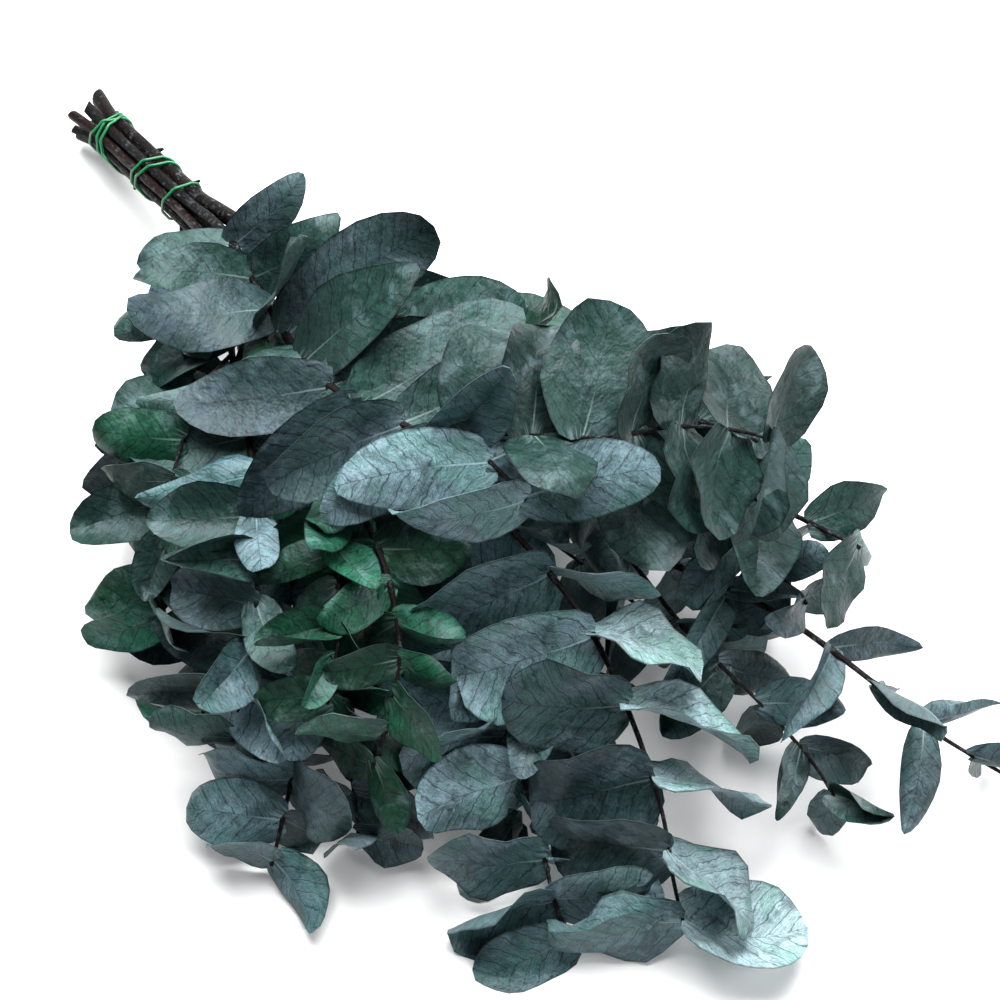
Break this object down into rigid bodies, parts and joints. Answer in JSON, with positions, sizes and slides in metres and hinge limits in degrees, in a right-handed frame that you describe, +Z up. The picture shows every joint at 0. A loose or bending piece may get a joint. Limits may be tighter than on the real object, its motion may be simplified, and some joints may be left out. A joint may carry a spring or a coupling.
{
  "type": "bunch of dried eucalyptus",
  "caption": "Bunch of dried eucalyptus lying on its side: leafy stems fanned out from a bare bundle that a green elastic cord binds.",
  "frame": {"origin": "on the surface that the bunch lies on, at the centre of its length and width", "axes": "+X along the bunch from the cut ends to the leaf tips, +Y across it, +Z up"},
  "size_m": [0.6432, 0.3681, 0.1998],
  "materials": {
    "foliage": "dried leaf, satin",
    "cord": "smooth elastic, satin"
  },
  "bodies": {
    "root": {"leafy_stem_01": "foliage", "leafy_stem_02": "foliage", "leafy_stem_03": "foliage", "leafy_stem_04": "foliage", "leafy_stem_05": "foliage", "leafy_stem_06": "foliage", "leafy_stem_07": "foliage", "leafy_stem_08": "foliage", "leafy_stem_09": "foliage", "leafy_stem_10": "foliage", "leafy_stem_11": "foliage", "tie_cord": "cord"}
  },
  "joints": []
}
